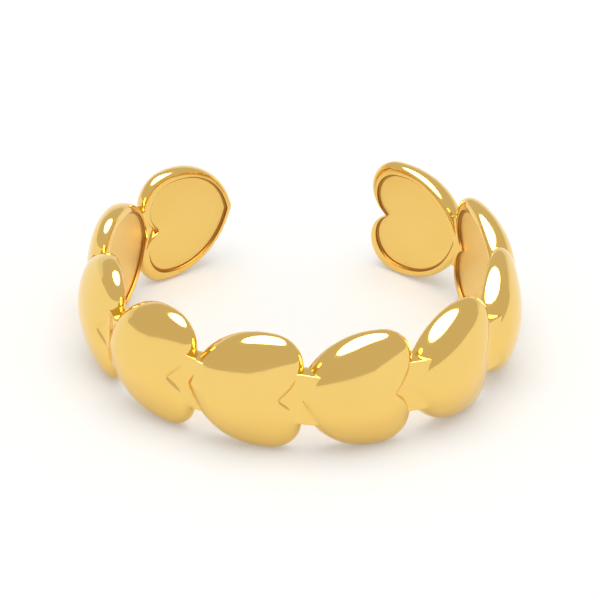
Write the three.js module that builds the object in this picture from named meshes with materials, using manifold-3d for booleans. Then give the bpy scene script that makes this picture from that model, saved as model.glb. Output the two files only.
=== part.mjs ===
import * as THREE from 'three';
import { mergeVertices } from 'three/addons/utils/BufferGeometryUtils.js';
import Module from 'manifold-3d';

// An open band ring: puffed hearts in single file round the finger, each one's tip reaching
// into the notch of the next as a short neck. Each back has a recess. The whole band is one
// casting. It lies on its side in millimetres, +Z up, with the origin under the middle of
// its box, on the surface that it rests on. The open ends are at the +Y side.

// Driving dimensions of the band
const innerDiameter = 17.0; // across the flat backs of two opposite hearts
const heartCount = 10;
const pitch = THREE.MathUtils.degToRad(31.5); // from one heart to the next
const firstAngle = THREE.MathUtils.degToRad(52.0); // of the first heart, from +X

// Driving dimensions of one heart
const heartLength = 5.26; // from the lobes to the tip
const lobeRadius = 1.46;
const lobeOffset = 1.36; // of a lobe's centre from the heart's middle line
const flankRadius = 3.6; // of the long side between a lobe and the tip
const tipRadius = 0.42;
const edgeHeight = 0.44; // where the side wall turns into the puffed face
const domeHeight = 1.28; // of the puffed face above that wall
const backEdge = { size: 0.965, height: 0.13 }; // chamfer round the flat back
const creaseFade = 0.8; // share of the way up the face at which the crease has gone
const crownShape = { length: 2.36, width: 2.56 }; // half axes that the face's rings turn into
const crownShift = -0.2; // of the crown from the heart's middle, towards the tip

// The recess in the back, as sizes next to the heart's outline and heights, from below its
// mouth up to its flat floor
const recessRings = [
  { size: 0.865, w: -0.3 },
  { size: 0.862, w: 0.1 },
  { size: 0.85, w: 0.13 },
];

// The neck between two hearts: the radius of its inner face, and sections that run along the
// band from inside one heart's notch to under the next heart's tip, each with the radius of
// its outer face and its share of the width.
const neckInside = 8.86;
const neckWidth = 2.5; // along the finger
const neckChamfer = 0.2;
const neckSections = [
  { along: -1.3, outside: 9.58, share: 1 },
  { along: -0.4, outside: 9.56, share: 1 },
  { along: 0.1, outside: 9.61, share: 1 },
  { along: 0.6, outside: 9.72, share: 0.98 },
  { along: 1.3, outside: 9.6, share: 0.84 },
];

// Number of flats along each stretch of half an outline, and of steps up the face
const lobeSteps = 8;
const flankSteps = 6;
const tipSteps = 1;
const domeSteps = 5;
const widestFlat = THREE.MathUtils.degToRad(7); // turn taken by the flat at the widest point

// Worked-out places on the heart. u runs towards the lobes, v across the heart, w out of it.
const backRadius = innerDiameter / 2;
const lobeCentre = new THREE.Vector2(heartLength / 2 - lobeRadius, lobeOffset);
const tipCentre = new THREE.Vector2(tipRadius - heartLength / 2, 0);
const notchU = lobeCentre.x + Math.sqrt(lobeRadius ** 2 - lobeOffset ** 2);

// The flank's circle touches the lobe's and the tip's circles from outside them both.
function flankCentre() {
  const toLobe = flankRadius - lobeRadius;
  const toTip = flankRadius - tipRadius;
  const across = tipCentre.clone().sub(lobeCentre);
  const distance = across.length();
  const along = (toLobe ** 2 - toTip ** 2 + distance ** 2) / (2 * distance);
  const aside = Math.sqrt(toLobe ** 2 - along ** 2);
  across.normalize();
  const square = new THREE.Vector2(-across.y, across.x);
  return lobeCentre.clone().addScaledVector(across, along).addScaledVector(square, aside);
}

// Points of an arc from one angle to another; the last point is left to the next arc.
function arc(centre, radius, from, to, steps) {
  return Array.from({ length: steps }, (_, i) => {
    const angle = from + ((to - from) * i) / steps;
    const outwards = new THREE.Vector2(Math.cos(angle), Math.sin(angle));
    return outwards.multiplyScalar(radius).add(centre);
  });
}

// The outline runs from the notch over one lobe to the tip, and back over its mirror image.
function heartOutline() {
  const flank = flankCentre();
  const atLobe = lobeCentre.clone().sub(flank).angle();
  const atTip = tipCentre.clone().sub(flank).angle();
  const fromNotch = Math.atan2(-lobeOffset, notchU - lobeCentre.x);
  const widest = Math.PI / 2;
  const half = [
    ...arc(lobeCentre, lobeRadius, fromNotch, atLobe, lobeSteps),
    ...arc(flank, flankRadius, atLobe, widest - widestFlat / 2, 1),
    ...arc(flank, flankRadius, widest - widestFlat / 2, widest + widestFlat / 2, 1),
    ...arc(flank, flankRadius, widest + widestFlat / 2, atTip, flankSteps),
    ...arc(tipCentre, tipRadius, atTip, Math.PI, tipSteps),
  ];
  const tip = new THREE.Vector2(-heartLength / 2, 0);
  const mirrored = half.slice(1).reverse().map(({ x, y }) => new THREE.Vector2(x, -y));
  return [...half, tip, ...mirrored];
}

// A ring of points at height w: the outline at another size about the heart's middle.
function sizedRing(outline, size, w) {
  return outline.map(({ x, y }) => new THREE.Vector3(x * size, y * size, w));
}

// A ring of the puffed face. The outline shrinks to the crown as it climbs a quarter of an
// ellipse, and turns into a plain oval, so the crease from the notch fades out.
function domeRing(outline, step) {
  const climb = step / domeSteps;
  const fade = THREE.MathUtils.smoothstep(climb, 0, creaseFade);
  const shrink = Math.cos((climb * Math.PI) / 2);
  const shift = crownShift * (1 - shrink);
  const w = edgeHeight + domeHeight * Math.sin((climb * Math.PI) / 2);
  return outline.map((point) => {
    const turn = point.angle();
    const ovalRadius =
      1 / Math.hypot(Math.cos(turn) / crownShape.length, Math.sin(turn) / crownShape.width);
    const radius = THREE.MathUtils.lerp(point.length(), ovalRadius, fade) * shrink;
    return new THREE.Vector3(radius * Math.cos(turn) + shift, radius * Math.sin(turn), w);
  });
}

// A closed geometry through rings of equal length, with a centre point closing each end.
function ringGeometry(rings, firstCentre, lastCentre) {
  const count = rings[0].length;
  const points = [firstCentre, ...rings.flat(), lastCentre];
  const last = points.length - 1;
  const index = [];
  for (let j = 0; j < count; j += 1) {
    const next = (j + 1) % count;
    index.push(0, 1 + next, 1 + j);
    for (let i = 0; i < rings.length - 1; i += 1) {
      const low = 1 + i * count;
      const high = low + count;
      index.push(low + j, low + next, high + next);
      index.push(low + j, high + next, high + j);
    }
    index.push(last, last - count + j, last - count + next);
  }
  const geometry = new THREE.BufferGeometry().setFromPoints(points);
  geometry.setIndex(index);
  return geometry;
}

// A solid heart from its flat back up to the crown.
function heartGeometry(outline) {
  const rings = [
    sizedRing(outline, backEdge.size, 0),
    sizedRing(outline, 1, backEdge.height),
  ];
  for (let step = 0; step < domeSteps; step += 1) rings.push(domeRing(outline, step));
  const crown = new THREE.Vector3(crownShift, 0, edgeHeight + domeHeight);
  return ringGeometry(rings, new THREE.Vector3(), crown);
}

// What is cut out of a heart's back, from below its mouth up to the floor of the recess.
function recessGeometry(outline) {
  const rings = recessRings.map(({ size, w }) => sizedRing(outline, size, w));
  const mouthCentre = new THREE.Vector3(0, 0, recessRings[0].w);
  const floorCentre = new THREE.Vector3(0, 0, recessRings.at(-1).w);
  return ringGeometry(rings, mouthCentre, floorCentre);
}

// A neck at +X: sections across the band with chamfered outer corners, joined in order.
function neckGeometry() {
  const rings = neckSections.map(({ along, outside, share }) => {
    const half = (neckWidth / 2) * share;
    const low = outside - neckChamfer;
    const narrow = half - neckChamfer;
    return [
      new THREE.Vector3(neckInside, along, half),
      new THREE.Vector3(low, along, half),
      new THREE.Vector3(outside, along, narrow),
      new THREE.Vector3(outside, along, -narrow),
      new THREE.Vector3(low, along, -half),
      new THREE.Vector3(neckInside, along, -half),
    ];
  });
  const ends = [neckSections[0], neckSections.at(-1)].map(({ along, outside }) => {
    return new THREE.Vector3((neckInside + outside) / 2, along, 0);
  });
  return ringGeometry(rings, ...ends);
}

// Joins closed geometries.
const wasm = await Module();
wasm.setup();

function toManifold(geometry) {
  const bare = geometry.clone();
  bare.deleteAttribute('normal');
  bare.deleteAttribute('uv');
  const merged = mergeVertices(bare, 1e-4);
  return new wasm.Manifold(
    new wasm.Mesh({
      numProp: 3,
      vertProperties: new Float32Array(merged.attributes.position.array),
      triVerts: new Uint32Array(merged.index.array),
    }),
  );
}

function toGeometry(solid) {
  const { vertProperties, triVerts } = solid.getMesh();
  const geometry = new THREE.BufferGeometry();
  geometry.setAttribute('position', new THREE.BufferAttribute(vertProperties, 3));
  geometry.setIndex(new THREE.BufferAttribute(triVerts, 1));
  return geometry;
}

// A geometry from a heart's own frame set on the band: u runs round the finger, v along it
// and w away from it.
function onBand(geometry, angle) {
  const radial = new THREE.Vector3(Math.cos(angle), Math.sin(angle), 0);
  const tangent = new THREE.Vector3(-radial.y, radial.x, 0);
  const placing = new THREE.Matrix4().makeBasis(tangent, new THREE.Vector3(0, 0, 1), radial);
  placing.setPosition(radial.multiplyScalar(backRadius));
  return geometry.clone().applyMatrix4(placing);
}

const outline = heartOutline();
const heart = heartGeometry(outline);
const recess = recessGeometry(outline);
const neck = neckGeometry();
const solids = [];
const recesses = [];
for (let i = 0; i < heartCount; i += 1) {
  const angle = firstAngle - i * pitch;
  solids.push(toManifold(onBand(heart, angle)));
  if (i > 0) solids.push(toManifold(neck.clone().rotateZ(angle + pitch / 2)));
  recesses.push(toManifold(onBand(recess, angle)));
}
const full = solids.reduce((sum, solid) => sum.add(solid));
const cast = recesses.reduce((rest, solid) => rest.subtract(solid), full);

const gold = new THREE.MeshStandardMaterial({ color: 0xf0cc78, roughness: 0.08, metalness: 1 });
const band = new THREE.Mesh(toGeometry(cast), gold);
band.name = 'heart_band';

// The origin goes under the middle of the band's box.
band.geometry.computeBoundingBox();
const box = band.geometry.boundingBox;
const middle = box.getCenter(new THREE.Vector3());
band.position.set(-middle.x, -middle.y, -box.min.z);

const group = new THREE.Group();
group.add(band);

export default group;
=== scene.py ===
import math

import bpy
from mathutils import Matrix, Vector


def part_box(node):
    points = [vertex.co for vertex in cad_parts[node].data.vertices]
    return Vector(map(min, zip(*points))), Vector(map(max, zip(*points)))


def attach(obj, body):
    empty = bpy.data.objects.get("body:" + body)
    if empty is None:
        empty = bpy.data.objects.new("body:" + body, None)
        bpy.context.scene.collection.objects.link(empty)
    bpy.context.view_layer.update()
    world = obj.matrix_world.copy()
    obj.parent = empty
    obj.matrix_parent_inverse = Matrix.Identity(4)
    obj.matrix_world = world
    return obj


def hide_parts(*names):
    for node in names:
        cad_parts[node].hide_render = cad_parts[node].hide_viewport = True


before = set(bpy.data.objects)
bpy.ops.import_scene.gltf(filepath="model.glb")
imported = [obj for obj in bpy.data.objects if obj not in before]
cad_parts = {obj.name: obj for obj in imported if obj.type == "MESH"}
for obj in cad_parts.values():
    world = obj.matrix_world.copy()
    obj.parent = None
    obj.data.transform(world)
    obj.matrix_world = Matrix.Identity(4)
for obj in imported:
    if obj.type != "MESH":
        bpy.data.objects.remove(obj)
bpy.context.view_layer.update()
cad_low, cad_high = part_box("heart_band")
mm = 0.001

# ---------------------------------------------------------------------------------------------
# One heart. Every link of the band is the same puffed heart, cast in brass as part of the
# band, polished and then gold plated. It is modelled flat: X towards the lobes, Y across, Z
# outwards from the finger.
# ---------------------------------------------------------------------------------------------
heart_length = 5.26 * mm
lobe_radius = 1.46 * mm
lobe_offset = 1.36 * mm  # of a lobe's centre from the heart's middle line
flank_radius = 3.6 * mm  # of the long side between a lobe and the tip
tip_radius = 0.42 * mm
lobe_steps, flank_steps, tip_steps = 9, 6, 1
edge_height = 0.44 * mm  # where the side wall turns into the puffed face
dome_height = 1.26 * mm  # of the puffed face above that wall
dome_steps = 6
last_climb = 0.92  # share of the way up at the last ring, inside which a grid closes the face
crown_shift = -0.2 * mm
crown_narrowing = 0.9
crease_fade = 0.66  # share of the way up at which the crease from the notch has gone
rim_rounding = 0.22 * mm
rim_shoulder = 0.3  # share of the rounding's height at the ring between wall and back
shoulder_size, rim_size = 0.975, 0.935  # of that ring and the back's edge, next to the outline
back_size = 0.9  # of the ring inside the back's edge, next to that edge
centre_size = 0.6  # of the ring that closes a flat face, next to the ring round it
smooth_levels = 2
same_place = 0.005 * mm  # places closer than this count as one

lobe_centre = Vector((heart_length / 2 - lobe_radius, lobe_offset, 0))
tip_centre = Vector((tip_radius - heart_length / 2, 0, 0))
notch = Vector((lobe_centre.x + math.sqrt(lobe_radius**2 - lobe_offset**2), 0, 0))


def select(piece, kind, wanted):
    """Selects those vertices, edges or polygons of the piece in edit mode that wanted() picks."""
    bpy.ops.object.mode_set(mode="OBJECT")
    mesh = piece.data
    for items in (mesh.vertices, mesh.edges, mesh.polygons):
        items.foreach_set("select", [False] * len(items))
    for item in getattr(mesh, kind):
        item.select = wanted(item)
    bpy.ops.object.mode_set(mode="EDIT")
    bpy.ops.mesh.select_mode(type={"vertices": "VERT", "edges": "EDGE", "polygons": "FACE"}[kind])


def lies_at(piece, edge, axis, level):
    """Whether both ends of an edge are at a level along an axis, 0 for X and 2 for Z."""
    ends = [piece.data.vertices[i].co[axis] for i in edge.vertices]
    return all(abs(end - level) < same_place for end in ends)


def flank_centre():
    """Centre of the circle that touches the lobe's and the tip's circles from outside them."""
    to_lobe = flank_radius - lobe_radius
    to_tip = flank_radius - tip_radius
    across = tip_centre - lobe_centre
    along = (to_lobe**2 - to_tip**2 + across.length_squared) / (2 * across.length)
    aside = math.sqrt(to_lobe**2 - along**2)
    across.normalize()
    return lobe_centre + across * along + Vector((-across.y, across.x, 0)) * aside


def angle_about(centre, point):
    """Direction in which a point lies from a centre."""
    return math.atan2(point.y - centre.y, point.x - centre.x)


def new_point(name, place):
    """A piece with a single point, in edit mode, ready to be spun or extruded."""
    bpy.ops.object.select_all(action="DESELECT")
    bpy.ops.mesh.primitive_plane_add(size=1 * mm)
    piece = bpy.context.object
    piece.name = name
    bpy.ops.object.mode_set(mode="EDIT")
    bpy.ops.mesh.select_mode(type="VERT")
    bpy.ops.mesh.merge(type="CENTER")
    bpy.ops.transform.translate(value=place)
    return piece


def spin_arc(centre, start, end, steps):
    """Spins the selected point along an arc of the outline."""
    bpy.ops.mesh.spin(steps=steps, angle=start - end, center=centre, axis=(0, 0, 1))


def new_outline(name):
    """A piece with a heart's outline, in edit mode, with the outline selected."""
    piece = new_point(name, notch)
    flank = flank_centre()
    lobe_end = angle_about(flank, lobe_centre)
    flank_end = angle_about(flank, tip_centre)
    spin_arc(lobe_centre, angle_about(lobe_centre, notch), lobe_end, lobe_steps)
    spin_arc(flank, lobe_end, flank_end, flank_steps)
    spin_arc(tip_centre, flank_end, math.pi, tip_steps)
    bpy.ops.mesh.select_all(action="SELECT")
    bpy.ops.mesh.duplicate()
    bpy.ops.transform.resize(value=(1, -1, 1), center_override=(0, 0, 0))
    bpy.ops.mesh.select_all(action="SELECT")
    bpy.ops.mesh.remove_doubles(threshold=2 * same_place)
    return piece


def smooth_share(share):
    """A share from 0 to 1 that starts and ends gently."""
    share = min(max(share, 0), 1)
    return share * share * (3 - 2 * share)


def raise_ring(rise, level, size, narrowing=1.0, roundness=0.0, shift=0.0, centre=0.0):
    """Extrudes the selected ring up to a level, then rounds and sizes it about its centre."""
    bpy.ops.mesh.extrude_edges_move(TRANSFORM_OT_translate={"value": (shift, 0, rise)})
    middle = (centre, 0, level)
    if roundness > 0:
        bpy.ops.transform.tosphere(value=roundness, center_override=middle)
    bpy.ops.transform.resize(value=(size * narrowing, size, 1), center_override=middle)


def close_flat(level):
    """Closes the selected ring with a flat face inside one more ring."""
    raise_ring(0, level, centre_size)
    bpy.ops.mesh.edge_face_add()


def smooth_mesh(piece):
    """Leaves edit mode and subdivides the piece to a smooth surface."""
    bpy.ops.object.mode_set(mode="OBJECT")
    smooth = piece.modifiers.new("smooth", "SUBSURF")
    smooth.levels = smooth_levels
    smooth.render_levels = smooth_levels
    bpy.ops.object.modifier_apply(modifier="smooth")


def finish_smooth(piece, crease_levels):
    """Turns the faces outwards, creases the notch's edges up to each level by that level's share,
    and smooths the rest."""
    bpy.ops.mesh.select_all(action="SELECT")
    bpy.ops.mesh.normals_make_consistent(inside=False)

    def in_notch(edge, low, high):
        ends = [piece.data.vertices[i].co for i in edge.vertices]
        on_line = all(abs(co.y) < same_place and co.x > 0 for co in ends)
        middle = sum(co.z for co in ends) / 2
        climbs = abs(ends[0].z - ends[1].z) > same_place / 5
        return on_line and climbs and low < middle < high

    for (low, share), (high, _) in zip([(-mm, 1.0)] + crease_levels, crease_levels):
        select(piece, "edges", lambda edge: in_notch(edge, low, high))
        bpy.ops.transform.edge_crease(value=share)
    smooth_mesh(piece)


heart = new_outline("heart")
bpy.ops.transform.translate(value=(0, 0, rim_rounding))
bpy.ops.object.mode_set(mode="OBJECT")
outline_count = len(heart.data.vertices)
bpy.ops.object.mode_set(mode="EDIT")

# The side wall and the puffed face, whose rings turn from the outline into an oval
raise_ring(edge_height - rim_rounding, edge_height, 1)
level, shrink, faded, centre = edge_height, 1.0, 0.0, 0.0
crease_levels = [(edge_height, 1.0)]
for step in range(1, dome_steps + 1):
    climb = last_climb * step / dome_steps
    fade = smooth_share(climb / crease_fade)
    new_level = edge_height + dome_height * math.sin(climb * math.pi / 2)
    new_shrink = math.cos(climb * math.pi / 2)
    new_centre = crown_shift * (1 - new_shrink)
    narrowing = crown_narrowing ** (fade - faded)
    roundness = (fade - faded) / (1 - faded) if faded < 1 else 0
    raise_ring(
        new_level - level,
        new_level,
        new_shrink / shrink,
        narrowing,
        roundness,
        new_centre - centre,
        new_centre,
    )
    crease_levels.append((new_level, max(0.0, 1 - fade)))
    level, shrink, faded, centre = new_level, new_shrink, fade, new_centre
bpy.ops.mesh.fill_grid(span=outline_count // 4, offset=0)

# The rounded rim and the flat back
select(heart, "edges", lambda edge: lies_at(heart, edge, 2, rim_rounding))
shoulder_level = rim_shoulder * rim_rounding
raise_ring(shoulder_level - rim_rounding, shoulder_level, shoulder_size)
raise_ring(-shoulder_level, 0, rim_size / shoulder_size)
raise_ring(0, 0, back_size)
close_flat(0)
finish_smooth(heart, crease_levels)

# Smoothing draws the heart in a little, so it is brought back to its full size.
heart.dimensions = (heart_length, (cad_high - cad_low).z, edge_height + dome_height)
bpy.ops.object.transform_apply(location=False, rotation=False, scale=True)


def linear(hex_colour):
    """An sRGB hex colour as linear RGBA."""
    parts = [int(hex_colour[i : i + 2], 16) / 255 for i in (1, 3, 5)]
    return (*[p / 12.92 if p <= 0.04045 else ((p + 0.055) / 1.055) ** 2.4 for p in parts], 1)


def add_node(tree, kind, settings, links):
    """Adds a node, sets its settings and input values, and links its inputs to other outputs."""
    node = tree.nodes.new(kind)
    for name, value in settings.items():
        if name in node.inputs:
            node.inputs[name].default_value = value
        else:
            setattr(node, name, value)
    for name, output in links.items():
        tree.links.new(output, node.inputs[name])
    return node


def gold_plate(name, low_colour, high_colour, low_roughness, high_roughness):
    """Gold plate that is a little redder and cloudier in patches and rippled by the wheel."""
    patch_width = 3.5 * mm
    ripple_width = 1.6 * mm
    ripple_height = 0.006 * mm
    gold = bpy.data.materials.new(name)
    gold.use_nodes = True
    tree = gold.node_tree
    shader = tree.nodes["Principled BSDF"]
    shader.inputs["Metallic"].default_value = 1.0
    place = add_node(tree, "ShaderNodeTexCoord", {}, {}).outputs["Object"]
    patches = add_node(
        tree,
        "ShaderNodeTexNoise",
        {"Scale": 1 / patch_width, "Detail": 2.0, "Roughness": 0.5},
        {"Vector": place},
    ).outputs["Fac"]
    tone = add_node(tree, "ShaderNodeMix", {"data_type": "RGBA"}, {"Factor": patches})
    tone.inputs["A"].default_value = linear(low_colour)
    tone.inputs["B"].default_value = linear(high_colour)
    tree.links.new(tone.outputs["Result"], shader.inputs["Base Color"])
    cloudy = add_node(
        tree,
        "ShaderNodeMapRange",
        {"To Min": low_roughness, "To Max": high_roughness},
        {"Value": patches},
    )
    tree.links.new(cloudy.outputs["Result"], shader.inputs["Roughness"])
    ripples = add_node(
        tree, "ShaderNodeTexNoise", {"Scale": 1 / ripple_width, "Detail": 1.0}, {"Vector": place}
    ).outputs["Fac"]
    bump = add_node(
        tree, "ShaderNodeBump", {"Strength": 1.0, "Distance": ripple_height}, {"Height": ripples}
    )
    tree.links.new(bump.outputs["Normal"], shader.inputs["Normal"])
    return gold


# Gold plate over brass, cast and polished to a mirror: a warm, light gold that takes on
# whatever stands round it, with clear edges between the dark and the light.
polished_gold = gold_plate("polished_gold_plate", "#f4d07a", "#efc970", 0.05, 0.12)
heart.data.materials.append(polished_gold)

# ---------------------------------------------------------------------------------------------
# The recess in the back. Each heart's flat back has a shallow heart-shaped recess, which
# leaves a narrow rim against the finger. This is the plug that is cut away from the casting.
# ---------------------------------------------------------------------------------------------
recess_depth = 0.13 * mm
recess_roundness = 0.18
recess_crease_top = 0.1 * mm  # up to here the notch keeps a sharp line
floor_margin = 0.006 * mm  # below the depth, within which a face is part of the floor
# Size next to the outline and height of each ring of the plug, from below the mouth up
recess_rings = [
    (0.868, -0.3 * mm),
    (0.868, -0.05 * mm),
    (0.866, 0.04 * mm),
    (0.862, 0.09 * mm),
    (0.85, 0.122 * mm),
    (0.81, recess_depth),
]
size, mouth_level = recess_rings[0]
recess = new_outline("recess")
bpy.ops.transform.resize(value=(size, size, 1), center_override=(0, 0, 0))
bpy.ops.transform.translate(value=(0, 0, mouth_level))
bpy.ops.transform.tosphere(value=recess_roundness, center_override=(0, 0, mouth_level))
level = mouth_level
for new_size, new_level in recess_rings[1:]:
    raise_ring(new_level - level, new_level, new_size / size)
    size, level = new_size, new_level
close_flat(level)
select(recess, "edges", lambda edge: lies_at(recess, edge, 2, mouth_level))
close_flat(mouth_level)
finish_smooth(recess, [(recess_crease_top, 1.0)])

# The same plate where the polishing wheel can't reach. A recess's floor has a satin sheen that
# blurs what it reflects to one even gold. The walls and the corner round the floor are painted a
# darker, browner gold. This is painted shade of the concave corner, and it draws a thin dark line
# round the floor.
satin_gold = gold_plate("satin_gold_plate", "#f4d07a", "#efc970", 0.26, 0.36)
# Painted shade: a darker brown gold for the recess walls and the corner round its floor
painted_corner_shade_gold = gold_plate("gold_plate_with_painted_corner_shade", "#b8853a", "#a87430", 0.3, 0.4)
finishes = [polished_gold, satin_gold, painted_corner_shade_gold]
for finish in finishes:
    recess.data.materials.append(finish)
for finish in finishes[1:]:
    heart.data.materials.append(finish)
floor_edge = recess_depth - floor_margin
# The faces off the floor, the walls and the corner, get the painted corner shade; the floor gets
# the satin plate
for finish, on_floor in ((painted_corner_shade_gold, False), (satin_gold, True)):
    select(recess, "polygons", lambda face: (face.center.z > floor_edge) == on_floor)
    recess.active_material_index = finishes.index(finish)
    bpy.ops.object.material_slot_assign()
bpy.ops.object.mode_set(mode="OBJECT")

# ---------------------------------------------------------------------------------------------
# The neck. A short neck grows out of every heart's tip and fills the notch of the heart
# before. It is cast with them, in the same brass, and it holds them together.
# ---------------------------------------------------------------------------------------------
neck_inside = 8.86 * mm  # radius of its inner face
neck_width = 2.5 * mm  # along the finger
neck_taper = 0.96  # of that width at the outer face
neck_rounding = 0.05 * mm
neck_rounding_steps = 2
neck_inner_crease = 0.9
# Place along the band, radius of the outer face and share of the width of each section,
# from inside the notch to under the next heart's face
neck_sections = [
    (-1.8 * mm, 9.79 * mm, 0.95),
    (-1.4 * mm, 9.83 * mm, 0.95),
    (-0.95 * mm, 9.79 * mm, 1.0),
    (-0.6 * mm, 9.64 * mm, 1.0),
    (-0.2 * mm, 9.56 * mm, 1.0),
    (0.15 * mm, 9.61 * mm, 1.0),
    (0.55 * mm, 9.73 * mm, 1.0),
    (0.95 * mm, 9.74 * mm, 0.96),
    (1.35 * mm, 9.56 * mm, 0.85),
]
place, outside, share = neck_sections[0]
neck = new_point("neck", (neck_inside, place, -neck_width / 2))
bpy.ops.mesh.extrude_vertices_move(TRANSFORM_OT_translate={"value": (0, 0, neck_width)})
bpy.ops.mesh.select_all(action="SELECT")
bpy.ops.mesh.extrude_edges_move(TRANSFORM_OT_translate={"value": (outside - neck_inside, 0, 0)})
select(neck, "vertices", lambda point: point.co.x > neck_inside + same_place)
bpy.ops.transform.resize(value=(1, 1, neck_taper), center_override=(0, 0, 0))
bpy.ops.mesh.bevel(offset=neck_rounding, segments=neck_rounding_steps, affect="VERTICES")
bpy.ops.mesh.select_all(action="SELECT")
for new_place, new_outside, new_share in neck_sections[1:]:
    bpy.ops.mesh.extrude_edges_move(TRANSFORM_OT_translate={"value": (0, new_place - place, 0)})
    bpy.ops.transform.resize(
        value=((new_outside - neck_inside) / (outside - neck_inside), 1, new_share / share),
        center_override=(neck_inside, new_place, 0),
    )
    place, outside, share = new_place, new_outside, new_share
bpy.ops.mesh.edge_face_add()
bpy.ops.mesh.select_all(action="SELECT")
bpy.ops.mesh.normals_make_consistent(inside=False)
select(neck, "edges", lambda edge: lies_at(neck, edge, 0, neck_inside))
bpy.ops.transform.edge_crease(value=neck_inner_crease)
smooth_mesh(neck)
for finish in finishes:
    neck.data.materials.append(finish)

# ---------------------------------------------------------------------------------------------
# The band. Ten hearts stand in single file round the finger, each one's tip in the next
# one's notch, and the whole is one casting that lies on its side with a gap at +Y.
# ---------------------------------------------------------------------------------------------
heart_count = 10
pitch = math.radians(31.5)
first_angle = math.radians(52.0)  # of the first heart, from +X
inner_radius = 8.5 * mm
sharpest_smooth_angle = math.radians(32)


def pick(piece):
    """Selects one piece and makes it the active one."""
    bpy.ops.object.select_all(action="DESELECT")
    piece.select_set(True)
    bpy.context.view_layer.objects.active = piece


def stand_up(piece):
    """Stands a flat piece on edge at +X, with its back on the finger hole."""
    pick(piece)
    piece.rotation_euler = (math.pi / 2, 0, math.pi / 2)
    piece.location = (inner_radius, 0, 0)
    bpy.ops.object.transform_apply(location=True, rotation=True, scale=True)


def copy_turned(piece, angle):
    """A copy of a standing piece, turned round the finger."""
    pick(piece)
    bpy.ops.object.duplicate(linked=False)
    copy = bpy.context.object
    copy.rotation_euler = (0, 0, angle)
    bpy.ops.object.transform_apply(location=True, rotation=True, scale=True)
    return copy


def cast(band, link, operation):
    """Joins a link to the band, or cuts it out of the band; each face keeps its finish."""
    pick(band)
    join = band.modifiers.new("cast_in_one", "BOOLEAN")
    join.operation = operation
    join.solver = "MANIFOLD"
    join.material_mode = "INDEX"
    join.object = link
    bpy.ops.object.modifier_apply(modifier="cast_in_one")
    bpy.data.objects.remove(link)


stand_up(heart)
stand_up(recess)
band = copy_turned(heart, first_angle)
band.name = "gold_heart_band"
for i in range(1, heart_count):
    angle = first_angle - i * pitch
    cast(band, copy_turned(heart, angle), "UNION")
    cast(band, copy_turned(neck, angle + pitch / 2), "UNION")
for i in range(heart_count):
    cast(band, copy_turned(recess, first_angle - i * pitch), "DIFFERENCE")
for spare in (heart, recess, neck):
    bpy.data.objects.remove(spare)

# Fitted to the CAD solid's box, standing on the same surface
corners = [Vector(corner) for corner in band.bound_box]
low = Vector(map(min, zip(*corners)))
high = Vector(map(max, zip(*corners)))
fit = min((cad_high - cad_low)[i] / (high - low)[i] for i in range(3))
band.scale = (fit, fit, fit)
band.location = (cad_low + cad_high) / 2 - (low + high) / 2 * fit
band.location.z = cad_low.z - low.z * fit
pick(band)
bpy.ops.object.transform_apply(location=True, rotation=True, scale=True)
bpy.ops.object.shade_smooth_by_angle(angle=sharpest_smooth_angle)
band.modifiers.new("flat_faces_stay_flat", "WEIGHTED_NORMAL").keep_sharp = True
bpy.ops.object.modifier_apply(modifier="flat_faces_stay_flat")
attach(band, "root")
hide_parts("heart_band")

# ---------------------------------------------------------------------------------------------
# The studio. The ring stands on a matt white board that sweeps up behind it, in a soft grey
# room with one wide softbox overhead.
# ---------------------------------------------------------------------------------------------
floor_reach = 3.0
sweep_start = 1.1
sweep_radius = 0.3
sweep_steps = 16
sweep_height = 0.5
board_glow = 0.2
board_glow_colour = (0.85, 1.0, 1.15, 1)
room_colour = (0.69, 0.65, 0.63, 1)
floor = new_point("floor", (-floor_reach, -floor_reach, 0))
bpy.ops.mesh.extrude_vertices_move(TRANSFORM_OT_translate={"value": (2 * floor_reach, 0, 0)})
bpy.ops.mesh.select_all(action="SELECT")
bpy.ops.mesh.extrude_edges_move(
    TRANSFORM_OT_translate={"value": (0, floor_reach + sweep_start, 0)}
)
bpy.ops.mesh.spin(
    steps=sweep_steps,
    angle=-math.pi / 2,
    center=(0, sweep_start, sweep_radius),
    axis=(1, 0, 0),
)
bpy.ops.mesh.extrude_edges_move(
    TRANSFORM_OT_translate={"value": (0, 0, sweep_height - sweep_radius)}
)
bpy.ops.mesh.select_all(action="SELECT")
bpy.ops.mesh.normals_make_consistent(inside=False)
bpy.ops.object.mode_set(mode="OBJECT")
bpy.ops.object.shade_smooth()

# Matt white board, which glows a little so that it stays white right out to its edges
white = bpy.data.materials.new("white_board")
white.use_nodes = True
board = white.node_tree.nodes["Principled BSDF"]
board.inputs["Base Color"].default_value = linear("#eaeaea")
board.inputs["Roughness"].default_value = 0.8
board.inputs["Specular IOR Level"].default_value = 0.0
board.inputs["Emission Color"].default_value = board_glow_colour
board.inputs["Emission Strength"].default_value = board_glow
floor.data.materials.append(white)

scene = bpy.context.scene
scene.view_settings.view_transform = "Standard"

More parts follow.
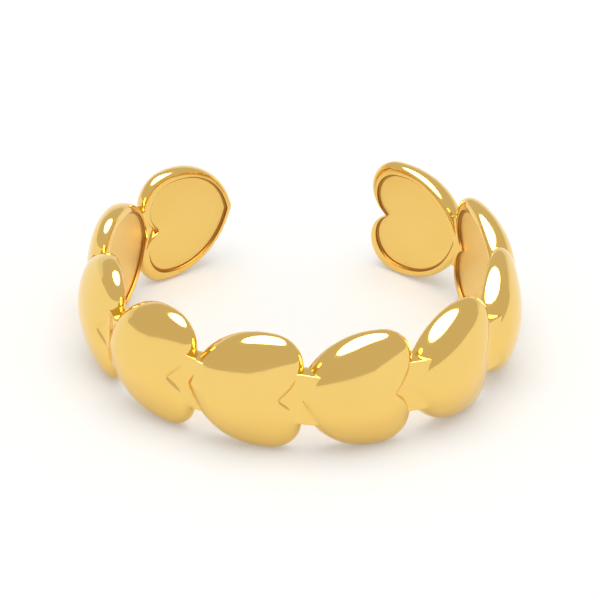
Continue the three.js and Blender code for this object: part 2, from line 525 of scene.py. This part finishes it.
world = bpy.data.worlds.new("room")
world.use_nodes = True
world.node_tree.nodes["Background"].inputs["Color"].default_value = room_colour
scene.world = world


def add_light(name, kind, place, energy):
    """Hangs a light that shines straight down."""
    light = bpy.data.lights.new(name, kind)
    light.energy = energy
    lamp = bpy.data.objects.new(name, light)
    lamp.location = place
    scene.collection.objects.link(lamp)
    return lamp


# The softbox is what the gold reflects as white. It hangs level over the ring.
softbox_place = (0, -0.034, 0.6)
softbox_length, softbox_width = 0.78, 0.72
softbox_radiance = 6.5
softbox_power = softbox_radiance * math.pi**2 / 4 * softbox_length * softbox_width
softbox = add_light("softbox", "AREA", softbox_place, softbox_power)
softbox.data.shape = "ELLIPSE"
softbox.data.size = softbox_length
softbox.data.size_y = softbox_width
softbox.visible_diffuse = False

# What the softbox sends down on the white board, evenly. It gives the ring its soft contact
# shadow and is kept out of the reflections.
board_light_strength = 1.08
board_light_colour = (0.99, 1.0, 0.95)
board_light_spread = math.radians(60)
board_light = add_light("board_light", "SUN", softbox_place, board_light_strength)
board_light.data.color = board_light_colour
board_light.data.angle = board_light_spread
board_light.visible_glossy = False

# ---------------------------------------------------------------------------------------------
# The camera stands in front of the closed side of the ring and looks along +Y and down on it,
# through a long lens.
# ---------------------------------------------------------------------------------------------
camera_elevation = math.radians(29.2)
camera_azimuth = math.radians(0.36)
camera_roll = math.radians(1.84)
camera_distance = 0.265
camera_lens = 350  # focal length in millimetres
nearest_view = 0.01
middle = (cad_low + cad_high) / 2
backwards = Vector((
    -math.sin(camera_azimuth) * math.cos(camera_elevation),
    -math.cos(camera_azimuth) * math.cos(camera_elevation),
    math.sin(camera_elevation),
))
camera_data = bpy.data.cameras.new("camera")
camera_data.lens = camera_lens
camera_data.clip_start = nearest_view
camera = bpy.data.objects.new("camera", camera_data)
camera.location = middle + backwards * camera_distance
looking = backwards.to_track_quat("Z", "Y").to_matrix() @ Matrix.Rotation(camera_roll, 3, "Z")
camera.rotation_euler = looking.to_euler()
scene.collection.objects.link(camera)
scene.camera = camera
